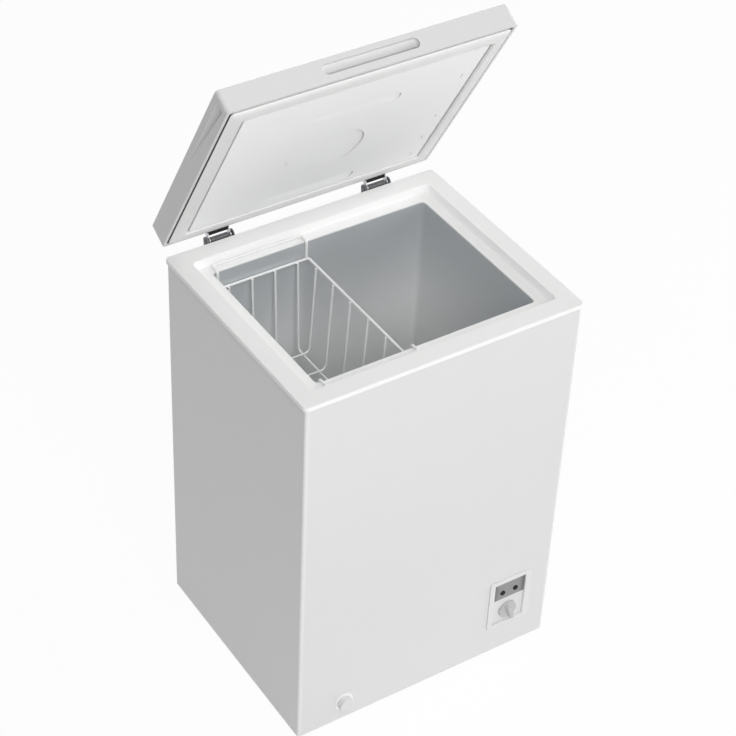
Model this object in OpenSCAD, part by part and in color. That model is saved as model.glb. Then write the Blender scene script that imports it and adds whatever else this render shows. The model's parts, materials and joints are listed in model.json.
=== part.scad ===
// Small chest freezer: an insulated cabinet with a hinged lid, a sliding wire basket,
// a thermostat, a drain and a compressor under a step in the cavity floor.
// Origin: on the floor, under the middle of the whole freezer with its lid open. +X is right, +Z is up
// and the front faces -Y.
// Everything is in millimetres, and the lid is drawn open, as it stands at rest.

/* [Cabinet] */
// Width over the side sheets
cabinet_w = 552; // [530:1:640]
// Depth over the front and rear sheets
cabinet_d = 464; // [450:1:540]
// Height from the floor to the top of the collar
cabinet_h = 800; // [740:1:880]
// Gap between the floor and the cabinet's lower edge
floor_gap = 10; // [8:1:16]
// Radius of the upright edges
edge_r = 6; // [4:0.5:8]
// Thickness of the steel sheets
sheet_t = 1; // [0.8:0.1:1.2]
// Width of the flanges folded in at the cabinet's bottom and rear
flange_w = 15; // [10:1:17]
// Diameter of a foot
foot_d = 40; // [30:1:42]
// Distance from the cabinet's sides to the middle of a foot
foot_inset = 37; // [36:1:60]

/* [Cavity] */
// Wall between the cavity and the side sheets
side_wall = 56; // [52:1:64]
// Wall between the cavity and the front and rear sheets
end_wall = 59.5; // [56:0.5:66]
// Wall between the cavity floor and the cabinet's lower edge
floor_wall = 70; // [60:1:90]
// Thickness of the inner liner
liner_t = 1; // [0.8:0.1:1.4]
// Radius of the liner's upright corners
liner_r = 8; // [6:1:12]

/* [Compressor bay] */
// Inside width of the bay, from the right side sheet
bay_w = 180; // [176:1:190]
// Inside height of the bay, from the cabinet's lower edge
bay_h = 245; // [235:1:260]
// Wall between the bay and the step in the cavity floor
bay_wall = 50; // [40:1:60]
// Radius of the compressor's shell
shell_r = 70; // [62:1:72]
// Height of the compressor's shell
shell_h = 160; // [140:1:175]
// Distance from the rear sheet to the middle of the compressor
shell_rear = 142; // [130:1:160]
// Height of the rubber grommets under the compressor
grommet_h = 14; // [10:1:18]

/* [Collar] */
// Thickness of the collar's moulding
collar_t = 3; // [2.5:0.5:4]
// Height of the lip that covers the top of the sheets
lip_h = 8; // [6:1:12]
// Depth of the ledge below the collar's seat
ledge_drop = 14; // [12:1:18]
// Width of the ledge
ledge_w = 20; // [18:1:22]
// How far the wall above the ledge leans outwards
ledge_lean = 5; // [3:1:6]

/* [Lid] */
// How far the lid's sides stand in from the cabinet's sides
lid_side_in = 0.25; // [0:0.25:2]
// How far the lid's front and rear stand in from the cabinet's
lid_end_in = 0.5; // [0:0.25:2]
// Height of the lid's skirt
lid_h = 42.5; // [40:0.5:55]
// Gap between the collar and the lid's lower edge when the lid is shut
lid_gap = 6; // [5:0.5:8]
// Thickness of the lid's skirt
skirt_t = 5.5; // [4.5:0.5:6.5]
// Thickness of the lid's top
lid_top_t = 2; // [1.5:0.5:3]
// How far the lid stands open at rest
open_angle = 60; // [50:1:65]
// Width of the gasket
gasket_w = 33; // [30:0.5:35]
// Gap between the gasket and the skirt
gasket_gap = 2.25; // [2:0.25:3]
// Depth of the gasket's seat above the lid's lower edge
seat_depth = 4.6; // [4:0.1:6]
// How far the lid's panel stands below the lid's lower edge
panel_drop = 3; // [1:0.5:4]
// Depth of the pressed shapes in the panel
press_depth = 3; // [2:0.5:4]
// Length of the opening of the handle
handle_w = 184; // [150:1:220]
// Height of the opening of the handle
handle_h = 19.5; // [17:0.5:21]
// Depth of the handle's cup behind the skirt
handle_depth = 20; // [16:1:26]
// Height of the middle of the handle above the lid's lower edge
handle_z = 22.25; // [21:0.25:24]
// Depth of the finger recesses in the lid's sides
recess_depth = 13; // [6:0.5:14]

/* [Hinges] */
// Distance from the lid's sides to the middle of a hinge
hinge_inset = 111.75; // [90:0.25:150]
// Width of a hinge bracket
hinge_w = 54; // [50:1:64]
// Distance of the hinge axis behind the lid's rear edge
hinge_back = 14; // [13:0.5:16]
// Distance of the hinge axis below the lid's lower edge
hinge_drop = 10.5; // [9.5:0.5:12]
// Diameter of the hinge pin
pin_d = 6; // [5:0.5:7]
// Thickness of the hinge's plates
plate_t = 2; // [1.5:0.5:2.5]

/* [Basket] */
// Length of the basket across the cabinet
basket_w = 190; // [160:1:200]
// Gap between the basket's ends and the cavity's front and rear walls
basket_clear = 4.5; // [3.5:0.5:12]
// Height of the basket below its rim wire
basket_h = 185; // [140:1:200]
// Distance from the cavity's left wall to the basket
basket_left = 4; // [4:1:24]
// Height of the rim wire below the ledge
rim_drop = 36; // [30:1:46]
// Diameter of the rim and hanger wires
rim_d = 5; // [4:0.5:6]
// Diameter of the other wires
wire_d = 4; // [3:0.5:4.5]
// How far the basket's sides lean in over its height
basket_lean = 9; // [4:1:14]
// Distance between neighbouring wires that run across
cross_pitch = 56.5; // [50:0.5:60]
// Distance between neighbouring wires that run front to rear
long_pitch = 46.6; // [42:0.2:50]
// Distance from the cavity wall to the hanger wire on the ledge
hanger_out = 14.5; // [12:0.5:15]

/* [Controls] */
// Width of the control panel
panel_w = 92; // [86:1:98]
// Height of the control panel
panel_h = 120; // [108:1:130]
// Distance from the cabinet's right side to the middle of the panel
panel_inset = 91.5; // [80:0.5:105]
// Height of the middle of the panel above the cabinet's lower edge
panel_z = 122.5; // [110:0.5:130]
// Height of the panel's frame in front of the sheet
panel_proud = 3; // [2:0.5:4]
// Diameter of the thermostat knob
knob_d = 42; // [36:1:46]
// Diameter of the thermostat shaft
shaft_d = 6; // [5:0.5:7]
// Diameter of a lamp
lamp_d = 11; // [8:0.5:12]

/* [Drain] */
// Distance from the cabinet's left side to the drain
drain_inset = 97; // [80:1:110]
// Height of the outlet above the cabinet's lower edge
drain_z = 44.5; // [42:0.5:48]
// Outer diameter of the outlet pipe
drain_d = 20; // [18:0.5:22]
// Diameter of the outlet's cap
cap_d = 29; // [27:0.5:32]
// Distance from the front sheet to the drain in the cavity floor
sump_y = 112; // [100:1:125]

/* [Pipes] */
// Diameter of the evaporator tube
evaporator_d = 8; // [6:0.5:9]
// Distance between the evaporator's rows
evaporator_pitch = 66; // [55:1:72]
// Diameter of the condenser tube
condenser_d = 5; // [4:0.5:6]
// Distance between the condenser's rows
condenser_pitch = 110; // [90:1:120]

/* [Hidden] */

// Clearances: between pieces that are fitted together, for turning pieces, and past an edge when cutting
fit = 0.1;
running = 0.06;
cut = 1;
// Sides of a small and of a large round piece in the preview
small_round = 32;
large_round = 96;
// Sides of a bent wire
wire_sides = 8;

// Cabinet
base_z = floor_gap + sheet_t;
foam_z = base_z + sheet_t;
inner_w = cabinet_w - 2 * sheet_t;
inner_d = cabinet_d - 2 * sheet_t;
inner_r = edge_r - sheet_t;
front_y = -cabinet_d / 2;
rear_y = cabinet_d / 2;
panel_back_y = rear_y - sheet_t;
foot_x = cabinet_w / 2 - foot_inset;
foot_y = cabinet_d / 2 - foot_inset;
peg_d = 8;
peg_h = 7;

// Cavity
liner_w = cabinet_w - 2 * side_wall;
liner_d = cabinet_d - 2 * end_wall;
floor_z = floor_gap + floor_wall;
liner_flange = 8;

// Collar
ledge_z = cabinet_h - ledge_drop;
ledge_under_z = ledge_z - collar_t;
collar_under_z = cabinet_h - collar_t;
ledge_x = liner_w / 2 + ledge_w;
ledge_y = liner_d / 2 + ledge_w;

// Compressor bay and what stands in it
bay_x = inner_w / 2 - bay_w;
bay_z = floor_gap + bay_h;
bay_side_wall = 35;
step_x = bay_x - bay_side_wall;
step_z = bay_z + bay_wall;
shell_x = bay_x + bay_w / 2;
shell_y = rear_y - shell_rear;
shell_z = foam_z + grommet_h + plate_t;
mount_x = 65;
mount_y = 70;
mount_plate_w = 160;
mount_plate_d = 170;
cover_w = 56;
cover_h = 34;
cover_depth = 34;
cover_mid_z = shell_z + 57;
grommet_d = 24;
grommet_neck_d = 18;
stud_d = 8;
grille_w = 130;
grille_h = 205;
grille_x = bay_x + 5 + grille_w / 2;
grille_z = floor_gap + 20 + grille_h / 2;
grille_border = 6;
grille_t = 2;
slot_pitch = 12;
slot_h = 5;
gland_x = inner_w / 2 - 30;
gland_z = floor_gap + 50;
gland_d = 12;

// Lid, in its shut place
lid_w = cabinet_w - 2 * lid_side_in;
lid_d = cabinet_d - 2 * lid_end_in;
lid_z = cabinet_h + lid_gap;
lid_rear_y = lid_d / 2;
pocket_w = lid_w - 2 * skirt_t;
pocket_d = lid_d - 2 * skirt_t;
pocket_r = 4;
gasket_out_w = pocket_w - 2 * gasket_gap;
gasket_out_d = pocket_d - 2 * gasket_gap;
gasket_clear = 0.4;
panel_open_w = gasket_out_w - 2 * gasket_w;
panel_open_d = gasket_out_d - 2 * gasket_w;
lid_sheet_t = 2;
seat_z = lid_z + seat_depth;
lid_panel_z = lid_z - panel_drop;
lid_panel_back_z = lid_panel_z + lid_sheet_t;
cup_t = 1.5;
recess_wall = 2.5;
recess_y0 = -lid_d / 2 + 15;
recess_y1 = -6;
recess_below = 3.4;
recess_above = 11.5;
recess_z0 = seat_z + lid_sheet_t + recess_below;
recess_z1 = lid_z + lid_h - recess_above;
hinge_x = lid_w / 2 - hinge_inset;
hinge_y = lid_rear_y + hinge_back;
hinge_z = lid_z - hinge_drop;

// Pressed shapes in the lid's panel: long pills, a round dish and small dots
press_y = 32;
pill_l = 180;
pill_d = 26;
pill_gap = 136;
dish_d = 124;
dot_d = 12;
dot_x = -94;
side_dot_x = 209;

// Hinges
eye_r = 9;
leaf_w = hinge_w - 10;
leaf_h = 32;
leaf_z = lid_z + 2;
bracket_h = 45;
bracket_top_z = cabinet_h - lip_h - 2;
screw_d = 4;
screw_head_d = 8;
screw_head_t = 2;
screw_reach = 14;
bracket_screw_x = 18;
bracket_screw_drops = [12, 34];

// Basket
basket_d = liner_d - 2 * basket_clear;
basket_x0 = -liner_w / 2 + basket_left;
basket_mid_x = basket_x0 + basket_w / 2;
rim_z = ledge_z - rim_drop;
cross_floor_z = rim_z - basket_h;
wire_bend = 12;
long_bend = 8;
hanger_bend = 5;
seat_clear = 0.3;
hanger_z = ledge_z + rim_d / 2 + seat_clear;
hanger_y = liner_d / 2 + hanger_out;

// Control panel
panel_x = cabinet_w / 2 - panel_inset;
panel_mid_z = floor_gap + panel_z;
frame_w = 11;
frame_top = 8;
pan_w = panel_w - 8;
pan_h = panel_h - 8;
pan_t = 2;
pan_depth = 5;
bezel_front_y = front_y - panel_proud;
pan_floor_y = bezel_front_y + pan_depth;
strip_h = 44;
strip_t = 1.5;
strip_z = panel_mid_z + panel_h / 2 - frame_top - strip_h / 2 - fit;
lamp_gap = 29;
lamp_z = panel_mid_z + 24;
knob_z = panel_mid_z - 25;
knob_proud = 14;
knob_turn = -45;
thermostat_w = 40;
thermostat_h = 34;
thermostat_depth = 36;
loom_d = 6;
loom_lead = 20;
loom_drop = 55;

// The open lid's rear edge and the knob's front are the whole freezer's rear and front
rear_most_y = hinge_y - hinge_back * cos(open_angle) + (lid_z + lid_h - hinge_z) * sin(open_angle);
front_most_y = front_y - knob_proud;
middle_y = (rear_most_y + front_most_y) / 2;

// Drain
drain_x = -cabinet_w / 2 + drain_inset;
outlet_z = floor_gap + drain_z;
sump_mid_y = front_y + sump_y;
sump_d = 26;
sump_bore = 16;
outlet_bore = 14;
outlet_proud = 4;
outlet_flange_d = 38;
outlet_flange_t = 2;
cap_proud = 14;
cap_wall = 2;

// ---------------------------------------------------------------- shared shapes

function unit(v) = v / norm(v);

// Points of the arc of radius r that rounds the corner at b between a and c
function corner_arc(a, b, c, r, steps) =
    let (u = unit(a - b), w = unit(c - b), half = acos(u * w) / 2, turn = 180 - 2 * half)
    let (centre = b + unit(u + w) * r / sin(half), p = unit(b + u * r / tan(half) - centre))
    let (far = b + w * r / tan(half) - centre, q = unit(far - (far * p) * p))
    [for (i = [0 : steps]) centre + r * (cos(turn * i / steps) * p + sin(turn * i / steps) * q)];

// A route through the given points with each corner rounded
function bent(route, r, steps = 3) = concat(
    [route[0]],
    [for (i = [1 : len(route) - 2]) each corner_arc(route[i - 1], route[i], route[i + 1], r, steps)],
    [route[len(route) - 1]]);

function headings(path) = let (last = len(path) - 1)
    [for (i = [0 : last]) unit(path[min(i + 1, last)] - path[max(i - 1, 0)])];

// Side directions carried along a path, so that a swept wire doesn't twist
function carried(heading, i, side) = i == len(heading) ? []
    : let (v = unit(side - (side * heading[i]) * heading[i])) concat([v], carried(heading, i + 1, v));

module wire(path, d, sides = wire_sides) {
    heading = headings(path);
    side = carried(heading, 0, abs(heading[0][2]) < 0.9 ? [0, 0, 1] : [1, 0, 0]);
    last = len(path) - 1;
    rings = [for (i = [0 : last], k = [0 : sides - 1])
        path[i] + d / 2 * (cos(360 * k / sides) * side[i] + sin(360 * k / sides) * cross(heading[i], side[i]))];
    walls = [for (i = [0 : last - 1], k = [0 : sides - 1]) let (n = (k + 1) % sides)
        [i * sides + k, (i + 1) * sides + k, (i + 1) * sides + n, i * sides + n]];
    polyhedron(rings, concat(
        [[for (k = [0 : sides - 1]) k]], walls,
        [[for (k = [sides - 1 : -1 : 0]) last * sides + k]]));
}

module rounded_rect(w, d, r) {
    square([w - 2 * r, d], center = true);
    square([w, d - 2 * r], center = true);
    for (x = [-1, 1], y = [-1, 1]) translate([x * (w / 2 - r), y * (d / 2 - r)]) circle(r, $fn = small_round);
}

// A block with rounded upright edges between two heights
module slab(w, d, r, z0, z1) translate([0, 0, z0]) linear_extrude(z1 - z0) rounded_rect(w, d, r);

// A cylinder along Y between two depths, at x and z
module rod_y(x, z, y0, y1, d) translate([x, y0, z]) rotate([-90, 0, 0])
    cylinder(h = y1 - y0, d = d, $fn = small_round * 2);

module rod_x(y, z, x0, x1, d) translate([x0, y, z]) rotate([0, 90, 0])
    cylinder(h = x1 - x0, d = d, $fn = small_round * 2);

module rod_z(x, y, z0, z1, d) translate([x, y, z0]) cylinder(h = z1 - z0, d = d, $fn = small_round * 2);

// A box between two opposite corners
module span(low, high) translate(low) cube(high - low);

// Upright slot shape with round ends, cut along Y between two depths
module slot_y(l, h, z, y0, y1) {
    span([-(l - h) / 2, y0, z - h / 2], [(l - h) / 2, y1, z + h / 2]);
    for (x = [-1, 1]) rod_y(x * (l - h) / 2, z, y0, y1, h);
}

module pill(l, d, z0, z1) {
    span([-(l - d) / 2, -d / 2, z0], [(l - d) / 2, d / 2, z1]);
    for (x = [-1, 1]) rod_z(x * (l - d) / 2, 0, z0, z1, d);
}

// Turns a piece drawn on the shut lid to where the lid stands at rest
// Brings a piece from the cabinet's middle to the middle of the whole freezer
module placed() translate([0, -middle_y, 0]) children();

module opened() translate([0, hinge_y, hinge_z]) rotate([-open_angle, 0, 0])
    translate([0, -hinge_y, -hinge_z]) children();

// ---------------------------------------------------------------- cabinet

// The cavity's own space, grown outwards by g
module cavity(g, top_z) {
    low_w = liner_w / 2 + step_x;
    slab(liner_w + 2 * g, liner_d + 2 * g, liner_r + g, step_z - g, top_z);
    translate([low_w / 2 - liner_w / 2, 0, 0])
        slab(low_w + 2 * g, liner_d + 2 * g, liner_r + g, floor_z - g, step_z + liner_r);
}

// The well above the ledge, whose walls lean outwards, grown outwards by g
module well(g, z0, z1) {
    rate = ledge_lean / ledge_drop;
    function half(at_ledge, z) = at_ledge + g + (z - ledge_z) * rate;
    function outline(at_ledge) = [[-half(at_ledge, z0), z0], [half(at_ledge, z0), z0],
        [half(at_ledge, z1), z1], [-half(at_ledge, z1), z1]];
    intersection() {
        rotate([90, 0, 0]) linear_extrude(cabinet_d, center = true) polygon(outline(ledge_x));
        rotate([90, 0, 90]) linear_extrude(cabinet_w, center = true) polygon(outline(ledge_y));
    }
}

module outer_wrapper() color("white") placed() difference() {
    slab(cabinet_w, cabinet_d, edge_r, floor_gap, collar_under_z);
    slab(inner_w, inner_d, inner_r, base_z, collar_under_z + cut);
    slab(cabinet_w - 2 * flange_w, cabinet_d - 2 * flange_w, inner_r, floor_gap - cut, base_z + cut);
    span([-cabinet_w / 2 + flange_w, 0, base_z], [cabinet_w / 2 - flange_w, rear_y + cut, collar_under_z + cut]);
    span([panel_x - pan_w / 2 - fit, front_y - cut, panel_mid_z - pan_h / 2 - fit],
        [panel_x + pan_w / 2 + fit, front_y + sheet_t + cut, panel_mid_z + pan_h / 2 + fit]);
    rod_y(drain_x, outlet_z, front_y - cut, front_y + sheet_t + cut, drain_d + 2 * fit);
}

module rear_panel() color("gainsboro") placed() difference() {
    span([-inner_w / 2 + inner_r, panel_back_y - sheet_t, foam_z],
        [inner_w / 2 - inner_r, panel_back_y, collar_under_z]);
    span([grille_x - grille_w / 2 + grille_border, 0, grille_z - grille_h / 2 + grille_border],
        [grille_x + grille_w / 2 - grille_border, rear_y, grille_z + grille_h / 2 - grille_border]);
    rod_y(gland_x, gland_z, 0, rear_y, gland_d + fit);
    hinge_screw_shafts(screw_d + fit);
    grille_screw_shafts(screw_d + fit);
}

module base_plate() color("silver") placed() difference() {
    slab(inner_w - 2 * fit, inner_d - 2 * fit, inner_r, base_z, foam_z);
    for (x = [-1, 1], y = [-1, 1]) rod_z(x * foot_x, y * foot_y, 0, foam_z + cut, peg_d + 2 * fit);
}

module foot(x, y) color("dimgray") placed() {
    rod_z(x * foot_x, y * foot_y, 0, base_z, foot_d);
    rod_z(x * foot_x, y * foot_y, base_z, base_z + peg_h, peg_d);
}

module foam_insulation() color("khaki") placed() difference() {
    slab(inner_w, inner_d, inner_r, foam_z, collar_under_z);
    span([-inner_w / 2, panel_back_y - sheet_t, 0], [inner_w / 2, rear_y, cabinet_h]);
    well(collar_t, ledge_under_z, cabinet_h);
    cavity(liner_t, ledge_z);
    slab(liner_w + 2 * liner_flange + 2, liner_d + 2 * liner_flange + 2, liner_r,
        ledge_under_z - liner_t, ledge_z);
    span([bay_x - sheet_t, -cabinet_d, 0], [cabinet_w, cabinet_d, bay_z + sheet_t]);
    route_groove(evaporator_route(), evaporator_d + 2 * fit, evaporator_bend);
    route_groove(condenser_route(), condenser_d + 2 * fit, condenser_bend);
    rod_z(sense_x, sense_y, bay_z, step_z, sense_hole);
    rod_y(drain_x, outlet_z, front_y, sump_mid_y, drain_d + fit);
    rod_z(drain_x, sump_mid_y, outlet_z - sump_d / 2 - fit, floor_z, sump_d + fit);
    for (x = [-1, 1], y = [-1, 1]) rod_z(x * foot_x, y * foot_y, 0, base_z + peg_h + fit, peg_d + 2 * fit);
    hinge_screw_shafts(screw_d);
}

module inner_liner() color("lightgray") placed() difference() {
    union() {
        cavity(liner_t, ledge_under_z);
        slab(liner_w + 2 * liner_flange, liner_d + 2 * liner_flange, liner_r + liner_t,
            ledge_under_z - liner_t, ledge_under_z);
    }
    cavity(0, cabinet_h);
    rod_z(drain_x, sump_mid_y, floor_z - liner_t - cut, floor_z + cut, sump_d + fit);
}

module top_collar() color("white") placed() difference() {
    union() {
        difference() {
            slab(cabinet_w + 2 * collar_t, cabinet_d + 2 * collar_t, edge_r + collar_t,
                cabinet_h - lip_h, cabinet_h);
            slab(cabinet_w, cabinet_d, edge_r, cabinet_h - lip_h - cut, collar_under_z);
        }
        well(collar_t, ledge_under_z, collar_under_z + collar_t / 2);
    }
    well(0, ledge_z, cabinet_h + cut);
    slab(liner_w, liner_d, liner_r, ledge_under_z - cut, cabinet_h);
}

// ---------------------------------------------------------------- compressor bay

module bay_panel() color("silver") placed() difference() {
    intersection() {
        slab(inner_w, inner_d, inner_r, foam_z, bay_z + sheet_t);
        difference() {
            span([bay_x - sheet_t, front_y, 0], [cabinet_w, panel_back_y - sheet_t, bay_z + sheet_t]);
            span([bay_x, front_y - cut, 0], [cabinet_w, rear_y, bay_z]);
        }
    }
    route_groove(evaporator_route(), evaporator_d + 2 * fit, evaporator_bend);
    route_groove(condenser_route(), condenser_d + 2 * fit, condenser_bend);
    rod_z(sense_x, sense_y, bay_z - cut, step_z, sense_hole);
}

module rear_grille() color("gray") placed() difference() {
    span([grille_x - grille_w / 2, panel_back_y, grille_z - grille_h / 2],
        [grille_x + grille_w / 2, panel_back_y + grille_t, grille_z + grille_h / 2]);
    slots = floor((grille_h - 40) / slot_pitch);
    for (i = [0 : slots], x = [-1, 1])
        translate([grille_x + x * grille_w / 4, panel_back_y, grille_z + (i - slots / 2) * slot_pitch])
            cube([grille_w / 2 - 16, 3 * grille_t, slot_h], center = true);
    grille_screw_shafts(screw_d + fit);
}

module grille_screw_shafts(d) for (x = [-1, 1], z = [-1, 1])
    rod_y(grille_x + x * (grille_w / 2 - grille_border / 2 - 1), grille_z + z * (grille_h / 2 - 8),
        panel_back_y - 6, panel_back_y + grille_t + cut, d);

module grille_screws() color("silver") placed() for (x = [-1, 1], z = [-1, 1]) {
    sx = grille_x + x * (grille_w / 2 - grille_border / 2 - 1);
    sz = grille_z + z * (grille_h / 2 - 8);
    rod_y(sx, sz, panel_back_y - 5, panel_back_y + grille_t, screw_d);
    rod_y(sx, sz, panel_back_y + grille_t, panel_back_y + grille_t + screw_head_t, screw_head_d - 2);
}

module cord_gland() color("dimgray") placed() difference() {
    union() {
        rod_y(gland_x, gland_z, panel_back_y - 4, panel_back_y + 5, gland_d);
        rod_y(gland_x, gland_z, panel_back_y, panel_back_y + 2.5, gland_d + 6);
        rod_y(gland_x, gland_z, panel_back_y - 4, panel_back_y - sheet_t, gland_d + 4);
    }
    rod_y(gland_x, gland_z, 0, cabinet_d, 7);
}

module compressor_shell() color("#222") placed() translate([shell_x, shell_y, shell_z])
    rotate_extrude($fn = large_round) polygon([
        [0, 0], [shell_r - 20, 0], [shell_r - 6, 10], [shell_r, 26], [shell_r, shell_h / 2 - 3],
        [shell_r + 3, shell_h / 2 - 3], [shell_r + 3, shell_h / 2 + 3], [shell_r, shell_h / 2 + 3],
        [shell_r, shell_h - 30], [shell_r - 6, shell_h - 12], [shell_r - 24, shell_h], [0, shell_h + 3]]);

module at_mounts() for (x = [-1, 1], y = [-1, 1])
    translate([shell_x + x * mount_x, shell_y + y * mount_y, 0]) children();

module compressor_plate() color("#333") placed() difference() {
    translate([shell_x, shell_y, 0]) slab(mount_plate_w, mount_plate_d, 8, shell_z - plate_t, shell_z);
    at_mounts() rod_z(0, 0, 0, shell_z + cut, grommet_neck_d + 2 * fit);
}

module compressor_grommets() color("#181818") placed() at_mounts() difference() {
    union() {
        rod_z(0, 0, foam_z, shell_z - plate_t, grommet_d);
        rod_z(0, 0, foam_z, shell_z + 3, grommet_neck_d);
    }
    rod_z(0, 0, 0, shell_z + 2 * cut + 3, stud_d + 2 * fit);
}

module compressor_studs() color("silver") placed() at_mounts() {
    rod_z(0, 0, foam_z, shell_z + 12, stud_d);
    translate([0, 0, shell_z + 3]) cylinder(h = 6, d = 15, $fn = 6);
}

module terminal_cover() color("#222") placed() difference() {
    span([shell_x - cover_w / 2, shell_y - shell_r - cover_depth, cover_mid_z - cover_h / 2],
        [shell_x + cover_w / 2, shell_y - 30, cover_mid_z + cover_h / 2]);
    rod_z(shell_x, shell_y, 0, bay_z, 2 * shell_r + 2 * fit);
}

// Rows that run around the walls and turn back on themselves, each one pitch above the last
function rows(plan, z0, pitch, count) = [for (k = [0 : count - 1], i = [0 : len(plan) - 1])
    let (p = plan[k % 2 == 0 ? i : len(plan) - 1 - i]) [p[0], p[1], z0 + k * pitch]];

function but_last(list) = [for (i = [0 : len(list) - 2]) list[i]];

// The evaporator is wound on the liner's outside, in the foam, and both its ends come down into the bay
function evaporator_route() =
    let (x = liner_w / 2 + liner_t + evaporator_d / 2 + fit, y = liner_d / 2 + liner_t + evaporator_d / 2 + fit)
    let (start = bay_x + 55, z0 = step_z + 34, count = 6, top = z0 + (count - 1) * evaporator_pitch)
    let (plan = [[start, y], [x, y], [x, -y], [-x, -y], [-x, y], [-start, y]])
    concat([[start, y, pipe_end_z]], but_last(rows(plan, z0, evaporator_pitch, count)),
        [[start - 30, y, top], [start - 30, y, pipe_end_z]]);

// The condenser lies against the inside of the outer sheets
function condenser_route() =
    let (x = inner_w / 2 - condenser_d / 2 - fit, y = inner_d / 2 - condenser_d / 2 - fit)
    let (back = rear_y - 42, far = rear_y - 17, z0 = bay_z + 65, count = 4)
    let (plan = [[x, back], [x, -y], [-x, -y], [-x, back]], top = z0 + (count - 1) * condenser_pitch)
    concat([[x, back, bay_z - 45]], but_last(rows(plan, z0, condenser_pitch, count)),
        [[x, far, top], [x, far, bay_z - 25], [x - 35, far, bay_z - 25], [x - 35, far, drier_top_z]]);

// Square grooves along a route whose stretches all run along an axis, with room for bends of radius r
module route_groove(route, d, r) {
    for (i = [0 : len(route) - 2]) span_round([route[i], route[i + 1]], d);
    for (i = [1 : len(route) - 2]) let (b = route[i])
        span_round([b, b + r * unit(route[i - 1] - b), b + r * unit(route[i + 1] - b)], d);
}

// The box round some points, grown by half of d
module span_round(points, d) span(
    [for (k = [0 : 2]) min([for (p = points) p[k]]) - d / 2],
    [for (k = [0 : 2]) max([for (p = points) p[k]]) + d / 2]);

module evaporator_coil() color("silver") placed()
    wire(bent(evaporator_route(), evaporator_bend), evaporator_d);

module condenser_coil() color("peru") placed()
    wire(bent(condenser_route(), condenser_bend), condenser_d);

evaporator_bend = liner_r + 2;
condenser_bend = 12;
drier_top_z = bay_z - 50;
drier_h = 100;
drier_x = inner_w / 2 - condenser_d / 2 - fit - 35;
drier_y = rear_y - 17;
pipe_d = 6;
capillary_d = 2.4;
capillary_dip = 14;
pipe_end_z = bay_z - 6;

module filter_drier() color("peru") placed() translate([drier_x, drier_y, drier_top_z - drier_h])
    rotate_extrude($fn = small_round * 2) polygon([[0, 0], [3, 0], [3, 8], [9, 16], [9, drier_h - 16],
        [4, drier_h - 8], [4, drier_h], [0, drier_h]]);

// The point on the shell in the direction of another point, at height z
function on_shell(p, z) = let (u = unit([p[0] - shell_x, p[1] - shell_y]) * (shell_r + fit))
    [shell_x + u[0], shell_y + u[1], z];

module capillary_tube() color("peru") placed() {
    out = evaporator_route()[len(evaporator_route()) - 1];
    low_z = drier_top_z - drier_h - capillary_dip;
    wire(bent([[drier_x, drier_y, drier_top_z - drier_h - fit], [drier_x, drier_y, low_z],
        [out[0], drier_y, low_z], [out[0], out[1], low_z], [out[0], out[1], pipe_end_z - fit]], 5), capillary_d);
}

module suction_pipe() color("peru") placed() {
    from = evaporator_route()[0];
    pipe_z = shell_z + shell_h / 2 + 30;
    wire(bent([from - [0, 0, fit], [from[0], from[1], pipe_z], on_shell(from, pipe_z)], 10), pipe_d);
}

module discharge_pipe() color("peru") placed() {
    to = condenser_route()[0];
    pipe_z = shell_z + shell_h / 2 + 24;
    wire(bent([on_shell(to, pipe_z), [to[0], to[1], pipe_z], to - [0, 0, fit]], 10), condenser_d);
}

module process_tube() color("peru") placed() {
    from = on_shell([bay_x, shell_y], shell_z + shell_h / 2 + 30);
    wire(bent([from, from - [10, 0, 0], from - [10, 0, -40]], 6), pipe_d);
}

// ---------------------------------------------------------------- controls

module control_bezel() color("whitesmoke") placed() difference() {
    union() {
        translate([panel_x, bezel_front_y, panel_mid_z]) rotate([-90, 0, 0])
            linear_extrude(panel_proud) rounded_rect(panel_w, panel_h, 5);
        span([panel_x - pan_w / 2, front_y - cut, panel_mid_z - pan_h / 2],
            [panel_x + pan_w / 2, pan_floor_y + pan_t, panel_mid_z + pan_h / 2]);
    }
    span([panel_x - panel_w / 2 + frame_w, bezel_front_y - cut, panel_mid_z - panel_h / 2 + frame_top],
        [panel_x + panel_w / 2 - frame_w, pan_floor_y, panel_mid_z + panel_h / 2 - frame_top]);
    at_lamps() rod_y(0, 0, front_y - cut, front_y + 20, lamp_d + 2 * fit);
    rod_y(panel_x, knob_z, front_y - cut, front_y + 20, shaft_d + 2 * running);
}

module at_lamps() for (side = [-1, 1]) at_lamp(side) children();

module at_lamp(side) translate([panel_x + side * lamp_gap / 2, 0, lamp_z]) children();

module lamp_strip() color("gray") placed() difference() {
    w = panel_w - 2 * frame_w - 2 * fit;
    span([panel_x - w / 2, pan_floor_y - strip_t, strip_z - strip_h / 2],
        [panel_x + w / 2, pan_floor_y, strip_z + strip_h / 2]);
    at_lamps() rod_y(0, 0, front_y - 20, front_y + 20, lamp_d + 2 * fit);
}

module lamp(side, shade) color(shade) placed() at_lamp(side) {
    rod_y(0, 0, pan_floor_y - strip_t - 1.5, pan_floor_y + pan_t + 8, lamp_d);
    rod_y(0, 0, pan_floor_y + pan_t + fit, pan_floor_y + pan_t + 4, lamp_d + 3);
}

// The knob's disc, its grip bar and the stem that turns in the thermostat
module thermostat_knob() color("whitesmoke") placed()
    translate([panel_x, 0, knob_z]) rotate([0, knob_turn, 0]) {
    back_y = pan_floor_y - 0.4;
    rod_y(0, 0, back_y - 4, back_y, knob_d);
    span([-4.5, front_y - knob_proud, -knob_d / 2 + 2], [4.5, back_y - 3, knob_d / 2 - 2]);
    rod_y(0, 0, back_y - 1, pan_floor_y + pan_t + 12, shaft_d);
}

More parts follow.
